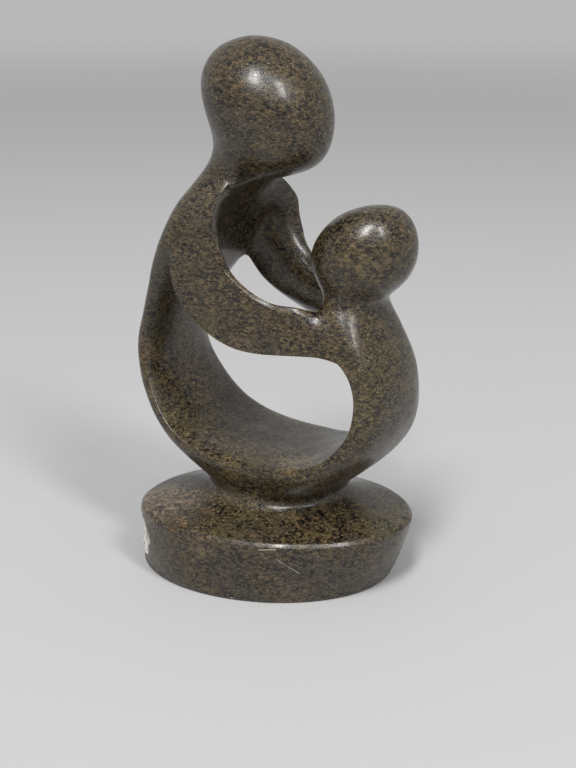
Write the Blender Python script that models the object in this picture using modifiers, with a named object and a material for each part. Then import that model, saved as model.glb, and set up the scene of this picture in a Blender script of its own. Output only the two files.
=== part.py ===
"""Stone mother and child on an oval plinth, carved from one block of speckled stone.

Metres, +Z up, front at -Y. The origin is at the middle of the plinth's underside.
The mother is at -X and leans over the child at +X. The figure is the same before and behind
its middle plane, and the plinth is an uneven oval, chipped on the mother's side.
"""

import math
from collections import namedtuple

import bmesh
import bpy
from mathutils import Matrix, Vector

# Figure: its own height above the plinth, and the squares of its drawing grid in that height
FIGURE_HEIGHT = 0.1665
GRID_SQUARES = 166.5

# Plinth, whose rim is wider than its foot and whose long side is turned from the figure's
RIM_LENGTH = 0.106
RIM_DEPTH = 0.078
RIM_HEIGHT = 0.0245
RIM_PLACE = (0.0050, -0.0015)
FOOT_LENGTH = 0.099
FOOT_DEPTH = 0.078
PLINTH_TURN = 18
DOME_RISE = 0.0040
DOME_SHARE = 0.82
ARRIS = 0.0018

# Waist, between the dome and the lap
WAIST_LENGTH = 0.053
WAIST_DEPTH = 0.046
WAIST_HEIGHT = 0.0045
WAIST_PLACE = (0.002, 0.005)
FLARE_SHARE = 1.15

# Chip in the plinth's side: where it lies round the rim, and its own size
CHIP_TURN = 200
CHIP_LENGTH = 0.034
CHIP_HEIGHT = 0.020
CHIP_THICKNESS = 0.013
CHIP_BITE = 0.0026
CHIP_ROUGHNESS = 0.05
CHIP_WAVES = (31, 27, 11)

# A section of a limb in grid squares: its place across and up from the middle of the waist, the
# lean of its inner side in degrees, half its width and half its depth. Its outer and inner sides
# run from 0, round, to 1, square. The inner side may be hollowed, and the edges lifted.
Section = namedtuple(
    "Section", "across up lean half_width half_depth outer inner hollow lift", defaults=(0, 0, 0, 0)
)
MOTHER = {
    "crown": Section(-2.5, 166.3, -12, 8.5, 10, lift=-3),
    "brow": Section(-3, 157, -16, 24.5, 22.5),
    "cheek": Section(-5, 141, -20, 29.5, 26.5),
    "chin": Section(-4, 127, -22, 22, 20.5),
    "neck": Section(-16, 119, -16, 10.5, 14, hollow=0.1),
    "shoulder": Section(-22.5, 110, -4, 14, 28, outer=0.2, inner=1, hollow=0.6),
    "armpit": Section(-33, 75.5, -15, 10.5, 30, outer=0.2, inner=0.6, hollow=0.75, lift=20.5),
    "back": Section(-44.5, 68.5, 0, 7.5, 22.5),
    "loin": Section(-51.5, 50, 0, 7.5, 21),
    "hip": Section(-43, 29, 30, 6.5, 25, outer=0.2, inner=0.2),
    "thigh": Section(-25, 13.7, 62, 4.7, 28, outer=0.3, inner=0.5),
}
CHILD = {
    "crown": Section(36.5, 112, 190, 9, 9.5, lift=-2),
    "brow": Section(36, 105.5, 190, 17.5, 18),
    "cheek": Section(35.5, 94.5, 185, 21.5, 21.5),
    "chin": Section(34.5, 84.5, 180, 17.5, 17.5),
    "neck": Section(32.5, 79.5, 180, 11, 14),
    "shoulder": Section(33, 75, 180, 10.5, 19, inner=0.4),
    "armpit": Section(43, 62.5, 180, 6.5, 21, inner=0.2),
    "hip": Section(48.5, 43, 170, 7.5, 21, inner=0.2),
    "thigh": Section(43.5, 27, 140, 7, 24, outer=0.2, inner=0.4),
    "knee": Section(26.5, 12.9, 112, 6.2, 27, outer=0.3, inner=0.5),
}

# An arm's sections in grid squares, from the mother's shoulder to the child's: its ridge, the
# upper and the lower edge of its inner side, its lip, and how deep the ridge and the lip lie.
# The outer side leans back more and more, so that its ridge fades out.
ARM = (
    ((-9.3, 102), (-10.5, 98), (-28, 75.5), (-29.5, 89), 29.5, 30),
    ((-5.3, 90.3), (-7, 87), (-19, 70), (-26, 76), 28, 30.5),
    ((3, 83), (1, 79), (-9, 67.5), (-15, 64.5), 25.5, 30),
    ((12.5, 78.5), (11, 76), (3, 65.5), (1, 58), 23.5, 28.5),
    ((21.5, 80), (20, 77.5), (17, 65), (18, 59.5), 22, 25.5),
)
ARM_INNER_DEPTH = 18

# How sharp the ridges are left, from 0, round, to 1
ARM_RIDGE = 0.65
INNER_RIDGE = 0.2
LIP = 0.45
LAP_RIDGE = 0.42
RIM_RIDGE = 0.4

# Degrees round a section from one of its points to the next
SECTION_STEP = 36

# Points of a level ring, and how much larger it is than the oval that it is rounded to
RING_POINTS = 10
ROUNDING = 1.07

STONE_COLOUR = (0.16, 0.14, 0.11, 1.0)
STONE_ROUGHNESS = 0.35


def squares(across, deep, up):
    """A point of the drawing grid, in metres, above the middle of the waist."""
    square = FIGURE_HEIGHT / GRID_SQUARES
    return Vector((across * square, deep * square, RIM_HEIGHT + DOME_RISE + up * square))


def side_of(half_width, half_depth, squareness):
    """Across and deep distances of one side of a section, from the middle plane to its edge."""
    points = []
    for step in range(3):
        angle = math.radians(SECTION_STEP * step)
        across = half_width * (math.cos(angle) * (1 - squareness) + squareness)
        deep = half_depth * (math.sin(angle) * (1 - squareness) + squareness * step / 2)
        points.append((across, deep))
    return points


def add_section(bm, section):
    """Three points on the section's outer side and three on its inner side."""
    lean = math.radians(section.lean)
    inward = Vector((math.cos(lean), math.sin(lean)))
    sides = {"outer": [], "inner": []}
    for name, way in (("outer", -1), ("inner", 1)):
        squareness = section.outer if name == "outer" else section.inner
        hollow = section.hollow if name == "inner" else 0
        for step, (out, deep) in enumerate(side_of(section.half_width, section.half_depth, squareness)):
            edge = (step / 2) ** 2
            out *= way * (1 - hollow * (1 - edge))
            up = section.up + out * inward.y + section.lift * edge
            sides[name].append(bm.verts.new(squares(section.across + out * inward.x, -deep, up)))
    return sides


def skin(bm, upper, lower, arm_root=False):
    """The faces between two sections. An arm takes the place of the inner face at its root."""
    for step in range(2):
        bm.faces.new((upper["outer"][step], lower["outer"][step],
                      lower["outer"][step + 1], upper["outer"][step + 1]))
        if arm_root and step == 1:
            continue
        bm.faces.new((upper["inner"][step], upper["inner"][step + 1],
                      lower["inner"][step + 1], lower["inner"][step]))
    bm.faces.new((upper["outer"][2], lower["outer"][2], lower["inner"][2], upper["inner"][2]))


def add_limb(bm, table):
    """A head and the body below it, down to the lap."""
    limb = {name: add_section(bm, section) for name, section in table.items()}
    crown = limb["crown"]
    for step in range(2):
        bm.faces.new((crown["outer"][step], crown["outer"][step + 1],
                      crown["inner"][step + 1], crown["inner"][step]))
    names = list(table)
    for upper, lower in zip(names, names[1:]):
        skin(bm, limb[upper], limb[lower], arm_root=upper == "shoulder")
    return limb


def arm_root(limb):
    """The four corners that an arm grows from: ridge, upper and lower inner edge, and lip."""
    upper = limb["shoulder"]["inner"]
    lower = limb["armpit"]["inner"]
    return [upper[2], upper[1], lower[1], lower[2]]


def add_arm(bm, mother, child):
    rings = [arm_root(mother)]
    for *corners, ridge_depth, lip_depth in ARM:
        depths = (ridge_depth, ARM_INNER_DEPTH, ARM_INNER_DEPTH, lip_depth)
        rings.append([bm.verts.new(squares(across, -deep, up))
                      for (across, up), deep in zip(corners, depths)])
    rings.append(arm_root(child))
    for ring, after in zip(rings, rings[1:]):
        for corner in range(4):
            following = (corner + 1) % 4
            bm.faces.new((ring[corner], ring[following], after[following], after[corner]))
    return rings


def add_lap(bm, left, right):
    """The top and the front of the lap. Its underside stays open for the waist."""
    for step in range(2):
        bm.faces.new((left["inner"][step], left["inner"][step + 1],
                      right["inner"][step + 1], right["inner"][step]))
    bm.faces.new((left["inner"][2], left["outer"][2], right["outer"][2], right["inner"][2]))


def crease_along(bm, layer, points, sharpness):
    for one, other in zip(points, points[1:]):
        bm.edges.get((one, other))[layer] = sharpness


def half_figure(bm, layer):
    """The figure's front half, open at the middle plane."""
    mother = add_limb(bm, MOTHER)
    child = add_limb(bm, CHILD)
    add_lap(bm, mother["thigh"], child["knee"])
    arm = add_arm(bm, mother, child)
    for corner, sharpness in ((2, INNER_RIDGE), (3, LIP)):
        crease_along(bm, layer, [ring[corner] for ring in arm], sharpness)
    ridge = [mother["neck"]["inner"][2]] + [ring[0] for ring in arm]
    for step, ends in enumerate(zip(ridge, ridge[1:])):
        crease_along(bm, layer, ends, ARM_RIDGE * (1 - step / len(ridge)))
    crease_along(bm, layer, [arm[0][3], mother["armpit"]["outer"][2]], LIP)
    ridge = [mother[name]["inner"][2] for name in ("loin", "hip", "thigh")]
    ridge += [child[name]["inner"][2] for name in ("knee", "thigh", "hip", "armpit")]
    crease_along(bm, layer, ridge, LAP_RIDGE)


def open_ring(bm):
    """The points of the lap's open underside, from the mother's side round the front."""
    ring = {vert for edge in bm.edges if edge.is_boundary for vert in edge.verts}
    return sorted(ring, key=lambda vert: math.atan2(-vert.co.y, -vert.co.x) % math.tau)


def add_oval(bm, length, depth, height, place, turn=0.0):
    """A level ring of points, from the mother's side round the front."""
    turned = Matrix.Rotation(math.radians(turn), 3, "Z")
    ring = []
    for step in range(RING_POINTS):
        angle = math.pi + math.tau * step / RING_POINTS
        point = Vector((length / 2 * math.cos(angle), depth / 2 * math.sin(angle), 0.0))
        ring.append(bm.verts.new(turned @ point * ROUNDING + Vector((*place, height))))
    return ring


def add_plinth(bm, layer, lap_ring):
    """Rings from the lap down the waist, over the dome to the rim, down the side and under."""
    top = RIM_HEIGHT + DOME_RISE
    middle = (0.0, 0.0)
    rim = (RIM_PLACE, PLINTH_TURN)
    foot = (middle, PLINTH_TURN)
    waist = add_oval(bm, WAIST_LENGTH, WAIST_DEPTH, top + WAIST_HEIGHT, WAIST_PLACE)
    flare = add_oval(bm, WAIST_LENGTH * FLARE_SHARE, WAIST_DEPTH * FLARE_SHARE, top, WAIST_PLACE,
                     PLINTH_TURN / 2)
    dome = add_oval(bm, RIM_LENGTH * DOME_SHARE, RIM_DEPTH * DOME_SHARE,
                    RIM_HEIGHT + DOME_RISE / 2, *rim)
    edge = add_oval(bm, RIM_LENGTH, RIM_DEPTH, RIM_HEIGHT, *rim)
    base = add_oval(bm, FOOT_LENGTH, FOOT_DEPTH, ARRIS, *foot)
    sole = add_oval(bm, FOOT_LENGTH - 2 * ARRIS, FOOT_DEPTH - 2 * ARRIS, 0.0, *foot)
    rings = [lap_ring, waist, flare, dome, edge, base, sole]
    for upper, lower in zip(rings, rings[1:]):
        for step in range(RING_POINTS):
            after = (step + 1) % RING_POINTS
            bm.faces.new((upper[step], lower[step], lower[after], upper[after]))
    for step in range(RING_POINTS // 2 - 1):
        far = RING_POINTS - 1 - step
        bm.faces.new((sole[step], sole[far], sole[far - 1], sole[step + 1]))
    crease_along(bm, layer, edge + edge[:1], RIM_RIDGE)
    crease_along(bm, layer, sole + sole[:1], 1.0)


def carving_cage():
    """The coarse shape of the whole carving, before it is rounded."""
    bm = bmesh.new()
    layer = bm.edges.layers.float.new("crease_edge")
    half_figure(bm, layer)
    half = bm.verts[:] + bm.edges[:] + bm.faces[:]
    bmesh.ops.mirror(bm, geom=half, axis="Y", merge_dist=0.00001)
    lap_ring = open_ring(bm)
    bmesh.ops.translate(bm, verts=bm.verts, vec=Vector((*WAIST_PLACE, 0.0)))
    add_plinth(bm, layer, lap_ring)
    bmesh.ops.recalc_face_normals(bm, faces=bm.faces)
    return bm


def chip_cutter(collection):
    """A rough lump whose side bites into the plinth's wall."""
    round_rim = math.radians(CHIP_TURN)
    on_rim = Vector((RIM_LENGTH / 2 * math.cos(round_rim), RIM_DEPTH / 2 * math.sin(round_rim), 0.0))
    outward = Vector((on_rim.x * RIM_DEPTH**2, on_rim.y * RIM_LENGTH**2, 0.0)).normalized()
    turned = Matrix.Rotation(math.radians(PLINTH_TURN), 3, "Z")
    outward = turned @ outward
    middle = turned @ on_rim + Vector((*RIM_PLACE, RIM_HEIGHT / 2))
    middle += outward * (CHIP_THICKNESS / 2 - CHIP_BITE)
    bpy.ops.mesh.primitive_ico_sphere_add(subdivisions=2, radius=0.5)
    cutter = bpy.context.object
    cutter.name = "plinth_chip_cutter"
    facing = Matrix.Rotation(math.atan2(outward.y, outward.x), 4, "Z")
    size = Matrix.Diagonal((CHIP_THICKNESS, CHIP_LENGTH, CHIP_HEIGHT, 1.0))
    for vert in cutter.data.vertices:
        along, upward, slant = CHIP_WAVES
        ripple = math.sin(along * vert.co.y) * math.sin(upward * vert.co.z + slant * vert.co.y)
        vert.co *= 1 + CHIP_ROUGHNESS * ripple
    cutter.data.transform(Matrix.Translation(middle) @ facing @ size)
    cutter.hide_render = True
    cutter.display_type = "WIRE"
    for owner in cutter.users_collection:
        owner.objects.unlink(cutter)
    collection.objects.link(cutter)
    return cutter


def stone():
    material = bpy.data.materials.new("speckled_stone")
    material.use_nodes = True
    shader = material.node_tree.nodes["Principled BSDF"]
    shader.inputs["Base Color"].default_value = STONE_COLOUR
    shader.inputs["Roughness"].default_value = STONE_ROUGHNESS
    return material


def new_collection(name):
    collection = bpy.data.collections.new(name)
    bpy.context.scene.collection.children.link(collection)
    return collection


def main():
    for obj in list(bpy.data.objects):
        bpy.data.objects.remove(obj, do_unlink=True)
    parts = new_collection("mother_and_child")
    cutters = new_collection("cutters")
    mesh = bpy.data.meshes.new("mother_and_child_carving")
    cage = carving_cage()
    cage.to_mesh(mesh)
    cage.free()
    mesh.materials.append(stone())
    mesh.shade_smooth()
    carving = bpy.data.objects.new("mother_and_child_carving", mesh)
    parts.objects.link(carving)
    rounding = carving.modifiers.new("rounding", "SUBSURF")
    rounding.levels = 2
    rounding.render_levels = 2
    chip = carving.modifiers.new("chip", "BOOLEAN")
    chip.operation = "DIFFERENCE"
    chip.solver = "EXACT"
    chip.object = chip_cutter(cutters)


main()
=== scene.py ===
"""Polished stone mother and child, carved with its plinth from one block, on a pale floor."""

import math

import bpy
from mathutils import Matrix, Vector, noise


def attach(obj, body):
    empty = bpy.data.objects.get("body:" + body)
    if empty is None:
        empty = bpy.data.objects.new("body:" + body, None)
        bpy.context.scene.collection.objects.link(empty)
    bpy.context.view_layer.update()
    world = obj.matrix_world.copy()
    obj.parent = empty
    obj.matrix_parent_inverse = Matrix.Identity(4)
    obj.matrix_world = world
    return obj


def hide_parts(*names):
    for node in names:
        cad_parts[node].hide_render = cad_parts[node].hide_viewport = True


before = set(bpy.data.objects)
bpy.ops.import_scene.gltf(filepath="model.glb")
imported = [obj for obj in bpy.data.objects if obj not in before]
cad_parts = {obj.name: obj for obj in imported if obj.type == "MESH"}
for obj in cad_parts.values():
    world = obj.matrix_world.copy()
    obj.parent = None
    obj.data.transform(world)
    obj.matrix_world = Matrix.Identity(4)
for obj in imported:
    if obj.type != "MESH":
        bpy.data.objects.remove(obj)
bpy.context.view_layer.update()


# Carving
# One block of soft speckled stone: filed and sanded into two smooth heads, strap arms and a lap,
# then waxed. It stands on its own oval plinth, which is the foot of the same block.
WELD = 0.000002
FLATTEST_PAIR = math.radians(35)
SQUAREST_PAIR = math.radians(60)
SURFACE_LEVELS = 2
SHARP_ANGLE = math.radians(24)
LEAST_CREASE = 0.35
CREASE_RANGE = 1.2
WAVE_SIZE = 0.021
WAVE_HEIGHT = 0.00045
RIPPLE_SIZE = 0.4
RIPPLE_HEIGHT = 0.35
FILED_AWAY = 0.6
FLAT_UNDERSIDE = 0.0012


def only(obj):
    """Makes obj the one selected and active object."""
    bpy.ops.object.select_all(action="DESELECT")
    obj.select_set(True)
    bpy.context.view_layer.objects.active = obj


def apply_modifiers(obj):
    only(obj)
    for modifier in list(obj.modifiers):
        bpy.ops.object.modifier_apply(modifier=modifier.name)


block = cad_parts["mother_and_child_carving"]
carving = block.copy()
carving.data = block.data.copy()
carving.name = "polished_carving"
carving.parent = None
bpy.context.scene.collection.objects.link(carving)
only(carving)
bpy.ops.object.mode_set(mode="EDIT")
bpy.ops.mesh.select_all(action="SELECT")
bpy.ops.mesh.remove_doubles(threshold=WELD)
bpy.ops.mesh.tris_convert_to_quads(face_threshold=FLATTEST_PAIR, shape_threshold=SQUAREST_PAIR)
bpy.ops.object.mode_set(mode="OBJECT")

# The filed edges keep their sharpness: the steeper the bend, the harder the crease.
creases = carving.data.attributes.new("crease_edge", "FLOAT", "EDGE")
faces_at = {}
for face in carving.data.polygons:
    for key in face.edge_keys:
        faces_at.setdefault(key, []).append(face.normal)
for edge in carving.data.edges:
    beside = faces_at[edge.key]
    bend = beside[0].angle(beside[1]) if len(beside) == 2 else 0
    if bend > SHARP_ANGLE:
        crease = LEAST_CREASE + (bend - SHARP_ANGLE) / CREASE_RANGE
        creases.data[edge.index].value = min(1.0, crease)

finer = carving.modifiers.new("finer surface", "SUBSURF")
finer.levels = SURFACE_LEVELS
finer.render_levels = SURFACE_LEVELS
apply_modifiers(carving)

# The file leaves shallow waves all over, but not under the foot.
surface = carving.data
points = [vert.co.copy() for vert in surface.vertices]
outward = [vert.normal.copy() for vert in surface.vertices]
for index, (point, away) in enumerate(zip(points, outward)):
    if point.z > FLAT_UNDERSIDE:
        wave = noise.noise(point / WAVE_SIZE)
        ripple = noise.noise(point / (WAVE_SIZE * RIPPLE_SIZE))
        height = wave + RIPPLE_HEIGHT * ripple - FILED_AWAY
        points[index] = point + away * WAVE_HEIGHT * height
surface.vertices.foreach_set("co", [value for point in points for value in point])
surface.update()


# Polished stone
# The stone is brown, with black specks, olive and violet-grey clouds and a few rust stains. The
# wax gives a soft shine, broken by fine scratches and by pits where the dark grains came out.
def new_material(name):
    material = bpy.data.materials.new(name)
    material.use_nodes = True
    return material, material.node_tree.nodes["Principled BSDF"]


def connect(tree, socket, value):
    """Links a socket to another, or gives it a plain value."""
    if isinstance(value, bpy.types.NodeSocket):
        tree.links.new(value, socket)
    else:
        socket.default_value = value


def object_place(tree):
    return tree.nodes.new("ShaderNodeTexCoord").outputs["Object"]


def stretched(tree, vector, turn, scale):
    """Coordinates turned and drawn out one way, for a grain that runs the other way."""
    made = tree.nodes.new("ShaderNodeMapping")
    made.inputs["Rotation"].default_value = turn
    made.inputs["Scale"].default_value = scale
    connect(tree, made.inputs["Vector"], vector)
    return made.outputs["Vector"]


def grain(tree, vector, scale, detail, roughness, distortion=0.0):
    made = tree.nodes.new("ShaderNodeTexNoise")
    for name, value in (("Vector", vector), ("Scale", scale), ("Detail", detail),
                        ("Roughness", roughness), ("Distortion", distortion)):
        connect(tree, made.inputs[name], value)
    return made.outputs["Fac"]


def between(tree, value, low, high, bottom=0.0, top=1.0):
    """The value's place between low and high, as a smooth step from bottom to top."""
    made = tree.nodes.new("ShaderNodeMapRange")
    made.interpolation_type = "SMOOTHSTEP"
    for name, number in (("Value", value), ("From Min", low), ("From Max", high),
                         ("To Min", bottom), ("To Max", top)):
        connect(tree, made.inputs[name], number)
    return made.outputs["Result"]


def arithmetic(tree, operation, first, second, kind="Math"):
    made = tree.nodes.new("ShaderNode" + kind)
    made.operation = operation
    connect(tree, made.inputs[0], first)
    connect(tree, made.inputs[1], second)
    return made


def plus(tree, first, second):
    return arithmetic(tree, "ADD", first, second).outputs["Value"]


def times(tree, first, second):
    return arithmetic(tree, "MULTIPLY", first, second).outputs["Value"]


def divided(tree, first, second):
    return arithmetic(tree, "DIVIDE", first, second).outputs["Value"]


def distance_to(tree, vector, point):
    return arithmetic(tree, "DISTANCE", vector, point, "VectorMath").outputs["Value"]


def over(tree, share, under, upper):
    """One colour laid over another."""
    made = tree.nodes.new("ShaderNodeMix")
    made.data_type = "RGBA"
    factor, first_colour, second_colour = made.inputs[0], made.inputs[6], made.inputs[7]
    connect(tree, factor, share)
    connect(tree, first_colour, under)
    connect(tree, second_colour, upper)
    return made.outputs[2]


def layered(tree, ground, layers):
    """Lays tints over a ground colour, each where its noise rises from low to high."""
    for noise_value, low, high, share, tint in layers:
        ground = over(tree, between(tree, noise_value, low, high, 0.0, share), ground, tint)
    return ground


def roughen(tree, shader, height, strength, distance):
    """Gives the surface a fine relief that follows the height."""
    bump = tree.nodes.new("ShaderNodeBump")
    bump.inputs["Strength"].default_value = strength
    bump.inputs["Distance"].default_value = distance
    connect(tree, bump.inputs["Height"], height)
    connect(tree, shader.inputs["Normal"], bump.outputs["Normal"])


def colour(red, green, blue):
    return (red, green, blue, 1)


STAIN_CORE = 1.15
STAIN_EDGE = 1.75
SCRATCH_CORE = 0.3


def stain(tree, vector, middle, radius, ragged):
    """A patch round a point, with an edge as ragged as the given noise."""
    uneven = plus(tree, divided(tree, distance_to(tree, vector, middle), radius), ragged)
    return between(tree, uneven, STAIN_CORE, STAIN_EDGE, 1.0, 0.0)


def scratch(tree, vector, start, end, width):
    """A thin line from one point of the surface to another."""
    start, end = Vector(start), Vector(end)
    along = end - start
    from_start = arithmetic(tree, "SUBTRACT", vector, start, "VectorMath").outputs["Vector"]
    reach = arithmetic(tree, "DOT_PRODUCT", from_start, along, "VectorMath").outputs["Value"]
    share = divided(tree, reach, along.length_squared)
    share.node.use_clamp = True
    nearest = tree.nodes.new("ShaderNodeVectorMath")
    nearest.operation = "SCALE"
    nearest.inputs[0].default_value = along
    connect(tree, nearest.inputs["Scale"], share)
    distance = distance_to(tree, from_start, nearest.outputs["Vector"])
    return between(tree, distance, width * SCRATCH_CORE, width, 1.0, 0.0)


stone, shader = new_material("speckled_stone")
tree = stone.node_tree
place = object_place(tree)
bed = stretched(tree, place, (0.10, 0.22, 0.3), (1.0, 1.0, 1.8))
elsewhere = arithmetic(tree, "ADD", place, (3.1, 1.7, 0.4), "VectorMath").outputs["Vector"]

cloud = grain(tree, place, 38, 5, 0.62)
drift = grain(tree, elsewhere, 30, 4, 0.6)
mottle = grain(tree, bed, 480, 6, 0.80, 0.3)
patches = grain(tree, place, 150, 4, 0.6)
crystal = grain(tree, bed, 1300, 3, 0.65)
speck = grain(tree, bed, 720, 5, 0.72, 0.5)
crowd = grain(tree, bed, 210, 4, 0.62)
ragged = grain(tree, place, 150, 5, 0.75)

# Light and dark brown, dark patches, violet-grey clouds, olive clouds and pale flecks. Each row
# is its noise, the range that it shows in, its strength and its colour.
DEEP_BROWN = colour(0.016, 0.011, 0.005)
BLACK_GRAIN = colour(0.004, 0.003, 0.0025)
LAYERS = (
    (mottle, 0.40, 0.61, 1.0, colour(0.118, 0.084, 0.038)),
    (patches, 0.44, 0.60, 0.40, colour(0.030, 0.022, 0.014)),
    (cloud, 0.50, 0.64, 0.50, colour(0.060, 0.048, 0.036)),
    (drift, 0.49, 0.64, 0.45, colour(0.066, 0.055, 0.023)),
    (crystal, 0.57, 0.66, 0.70, colour(0.24, 0.195, 0.120)),
)
stone_colour = layered(tree, DEEP_BROWN, LAYERS)
crowded = between(tree, crowd, 0.42, 0.54, 0.40, 1.0)
black = times(tree, between(tree, speck, 0.47, 0.53), crowded)
stone_colour = over(tree, black, stone_colour, BLACK_GRAIN)

# Tan, rust and gold stains: middle, radius, colour and strength
STAINS = (
    ((-0.031, -0.024, 0.027), 0.015, colour(0.25, 0.18, 0.13), 0.55),
    ((-0.041, -0.028, 0.021), 0.009, colour(0.24, 0.16, 0.10), 0.35),
    ((-0.014, -0.038, 0.025), 0.004, colour(0.30, 0.15, 0.05), 0.40),
    ((-0.002, -0.040, 0.022), 0.006, colour(0.24, 0.16, 0.10), 0.35),
    ((-0.050, -0.014, 0.080), 0.008, colour(0.26, 0.13, 0.04), 0.40),
    ((-0.047, -0.016, 0.062), 0.010, colour(0.16, 0.12, 0.04), 0.30),
    ((-0.003, -0.021, 0.044), 0.006, colour(0.24, 0.17, 0.06), 0.40),
    ((0.022, -0.015, 0.048), 0.008, colour(0.24, 0.17, 0.06), 0.40),
    ((-0.022, -0.020, 0.045), 0.008, colour(0.20, 0.14, 0.06), 0.25),
    ((0.030, 0.006, 0.051), 0.008, colour(0.22, 0.16, 0.07), 0.30),
    ((0.044, -0.016, 0.072), 0.014, colour(0.15, 0.12, 0.05), 0.30),
    ((0.010, -0.020, 0.150), 0.014, colour(0.15, 0.11, 0.05), 0.30),
    ((0.046, -0.012, 0.123), 0.009, colour(0.15, 0.12, 0.05), 0.30),
    ((0.003, -0.022, 0.090), 0.006, colour(0.20, 0.13, 0.06), 0.30),
    ((0.029, -0.029, 0.005), 0.007, colour(0.20, 0.12, 0.08), 0.30),
)
spread = times(tree, ragged, 1.1)
broken = between(tree, mottle, 0.44, 0.60)
for middle, radius, tint, strength in STAINS:
    patch = times(tree, stain(tree, place, middle, radius, spread), strength)
    stone_colour = over(tree, times(tree, patch, broken), stone_colour, tint)

# Two scratches on the plinth's front, one on its dome, one on the mother's head and one on the
# child's shoulder: ends and width
SCRATCHES = (
    ((0.0251, -0.0347, 0.0205), (0.0353, -0.0258, 0.0106), 0.00024),
    ((0.0205, -0.0362, 0.0225), (0.0262, -0.0340, 0.0232), 0.00030),
    ((0.0176, -0.0161, 0.0306), (0.0220, -0.0240, 0.0285), 0.00016),
    ((0.0042, -0.0035, 0.1908), (0.0050, -0.0085, 0.1885), 0.00018),
    ((0.0330, -0.0106, 0.1057), (0.0400, -0.0110, 0.1020), 0.00016),
)
SCRATCH_COLOUR = colour(0.36, 0.33, 0.27)
SCRATCH_STRENGTH = 0.75
for start, end, width in SCRATCHES:
    line = times(tree, scratch(tree, place, start, end, width), SCRATCH_STRENGTH)
    stone_colour = over(tree, line, stone_colour, SCRATCH_COLOUR)
connect(tree, shader.inputs["Base Color"], stone_colour)

# The wax is thinner in worn places and on the pale crystals.
worn = times(tree, grain(tree, place, 70, 5, 0.7), 0.6)
unpolished = plus(tree, worn, times(tree, crystal, 0.4))
shine = between(tree, unpolished, 0.35, 0.65, 0.17, 0.37)
connect(tree, shader.inputs["Roughness"], shine)
shader.inputs["IOR"].default_value = 1.5
shader.inputs["Coat Weight"].default_value = 0.1
shader.inputs["Coat Roughness"].default_value = 0.15

# Hairlines from the sanding, and pits at the black grains
brushing = stretched(tree, place, (0.3, 0.7, 0.5), (1.0, 1.0, 5.0))
hairlines = times(tree, grain(tree, brushing, 700, 3, 0.6), 0.35)
pits = times(tree, black, 0.5)
pitted = arithmetic(tree, "SUBTRACT", hairlines, pits).outputs["Value"]
roughen(tree, shader, pitted, 0.35, 0.0001)

carving.data.materials.clear()
carving.data.materials.append(stone)


# Chip in the plinth
# A flake has come off the left side of the plinth and left a pale, rough, unpolished scar with a
# ragged edge. Small nicks run along the bottom edge.
CHIP_MIDDLE = (-0.0413, -0.0325, 0.0122)
CHIP_SIZE = (0.0150, 0.0370, 0.0222)
CHIP_TURN = math.radians(224)
CHIP_STEPS = 5
CHIP_ROUGHNESS = 0.055
NICKS = (
    ((0.0092, -0.0380, 0.0), 0.0040),
    ((0.0128, -0.0369, 0.0), 0.0024),
    ((-0.0200, -0.0385, 0.0), 0.0020),
    ((0.0380, -0.0220, 0.0), 0.0022),
    ((-0.0350, -0.0290, 0.0), 0.0018),
    ((-0.0050, 0.0400, 0.0), 0.0026),
)
NICK_DEPTH = 0.8
NICK_HEIGHT = 0.9
NICK_STEPS = 3
NICK_ROUGHNESS = 0.12
LUMP_VARIETY = 90
LUMP_WAVE = 5
FINER_LUMP_WAVES = ((13, 0.6), (29, 0.35))

fresh, shader = new_material("fresh_stone")
tree = fresh.node_tree
place = object_place(tree)
crumb = grain(tree, place, 900, 4, 0.7)
vein = grain(tree, place, 260, 4, 0.65)
FRESH_LAYERS = (
    (vein, 0.40, 0.62, 1.0, colour(0.72, 0.69, 0.65)),
    (crumb, 0.60, 0.68, 0.6, colour(0.14, 0.11, 0.09)),
)
connect(tree, shader.inputs["Base Color"], layered(tree, colour(0.46, 0.43, 0.40), FRESH_LAYERS))
shader.inputs["Roughness"].default_value = 0.85
roughen(tree, shader, crumb, 0.8, 0.0004)
carving.data.materials.append(fresh)


def break_off(middle, size, turn, steps, roughness):
    """Takes a rough lump out of the carving, which keeps the lump's rough side in fresh stone."""
    middle = Vector(middle)
    bpy.ops.mesh.primitive_ico_sphere_add(subdivisions=steps, radius=0.5)
    lump = bpy.context.object
    for vert in lump.data.vertices:
        way = vert.co.copy()
        push = noise.noise(way * LUMP_WAVE + middle * LUMP_VARIETY)
        for count, height in FINER_LUMP_WAVES:
            push += height * noise.noise(way * count)
        vert.co = way * (1 + roughness * 2 * push)
    bpy.ops.transform.resize(value=size)
    bpy.ops.transform.rotate(value=-turn, orient_axis="Z", center_override=(0, 0, 0))
    bpy.ops.transform.translate(value=middle)
    bpy.ops.object.transform_apply(location=True, rotation=True, scale=True)
    lump.data.materials.append(None)
    lump.data.materials.append(fresh)
    for face in lump.data.polygons:
        face.material_index = 1
    cut = carving.modifiers.new("break", "BOOLEAN")
    cut.operation = "DIFFERENCE"
    cut.solver = "EXACT"
    cut.object = lump
    apply_modifiers(carving)
    bpy.data.objects.remove(lump, do_unlink=True)


break_off(CHIP_MIDDLE, CHIP_SIZE, CHIP_TURN, CHIP_STEPS, CHIP_ROUGHNESS)
for middle, width in NICKS:
    size = (width, width * NICK_DEPTH, width * NICK_HEIGHT)
    break_off(middle, size, 0.0, NICK_STEPS, NICK_ROUGHNESS)

only(carving)
bpy.ops.object.shade_smooth_by_angle(angle=math.radians(40))
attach(carving, "root")
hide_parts("mother_and_child_carving")


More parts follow.
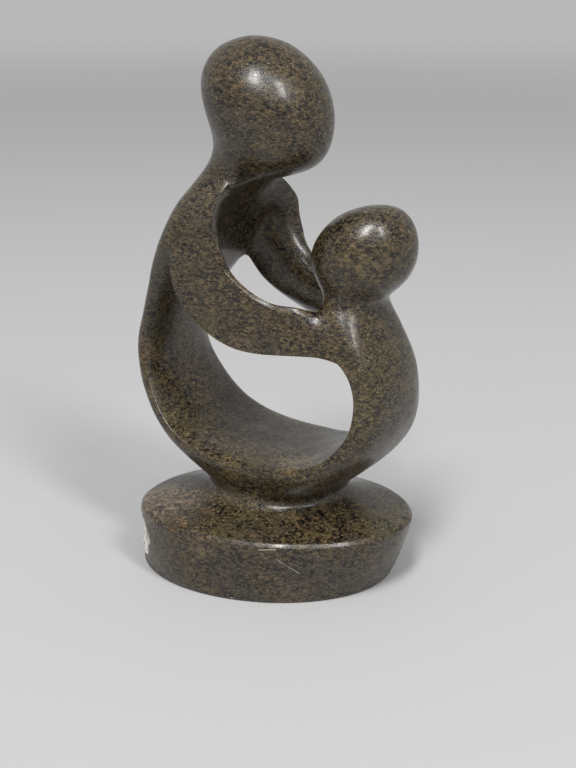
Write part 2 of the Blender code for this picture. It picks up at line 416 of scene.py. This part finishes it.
# Floor and light
# A pale matt sheet lies under the carving and fades into the pale room behind it. Two tall soft
# screens above give the twin highlights on the mother's head.
FLOOR_SIZE = 8
FADE_FROM = 0.7
FADE_TO = 3.2
ROOM_LEVEL = 0.48
ROOM_ABOVE = 0.44
LIT_MIDDLE = Vector((0, 0, 0.1))
EYE_TURN = math.radians(33)
EYE_RISE = math.radians(18)
EYE_DISTANCE = 0.5
LOOK_AT = Vector((0.006, 0.005, 0.070))
LENS = 63.3

bpy.ops.object.select_all(action="DESELECT")
bpy.ops.mesh.primitive_plane_add(size=FLOOR_SIZE, location=(0, 0, 0))
floor = bpy.context.object
floor.name = "pale_floor"
paper, shader = new_material("pale_paper")
shader.inputs["Base Color"].default_value = colour(0.43, 0.43, 0.43)
shader.inputs["Roughness"].default_value = 0.75
tree = paper.node_tree
away = distance_to(tree, object_place(tree), (0, 0, 0))
connect(tree, shader.inputs["Alpha"], between(tree, away, FADE_FROM, FADE_TO, 1.0, 0.0))
floor.data.materials.append(paper)


def soft_screen(name, place, size, power):
    lamp = bpy.data.lights.new(name, "AREA")
    lamp.shape = "RECTANGLE"
    lamp.size, lamp.size_y = size
    lamp.energy = power
    holder = bpy.data.objects.new(name, lamp)
    bpy.context.scene.collection.objects.link(holder)
    holder.location = place
    holder.rotation_euler = (LIT_MIDDLE - Vector(place)).to_track_quat("-Z", "Y").to_euler()


soft_screen("top_screen_left", (0.40, -1.25, 2.35), (0.44, 1.25), 60)
soft_screen("top_screen_right", (1.65, -0.65, 1.90), (0.36, 1.10), 31)

room = bpy.data.worlds.new("pale_room")
room.use_nodes = True
tree = room.node_tree
facing = tree.nodes.new("ShaderNodeTexCoord").outputs["Generated"]
height = tree.nodes.new("ShaderNodeSeparateXYZ")
connect(tree, height.inputs["Vector"], facing)
light = between(tree, height.outputs["Z"], 0.0, 0.9, ROOM_LEVEL, ROOM_ABOVE)
connect(tree, tree.nodes["Background"].inputs["Strength"], light)
tree.nodes["Background"].inputs["Color"].default_value = colour(1.0, 1.0, 1.0)
bpy.context.scene.world = room
bpy.context.scene.view_settings.view_transform = "Standard"

lens = bpy.data.cameras.new("photo_camera")
lens.lens = LENS
lens.clip_start = 0.01
camera = bpy.data.objects.new("photo_camera", lens)
bpy.context.scene.collection.objects.link(camera)
flat = math.cos(EYE_RISE)
offset = Vector((math.sin(EYE_TURN) * flat, -math.cos(EYE_TURN) * flat, math.sin(EYE_RISE)))
camera.location = LOOK_AT + offset * EYE_DISTANCE
camera.rotation_euler = offset.to_track_quat("Z", "Y").to_euler()
bpy.context.scene.camera = camera
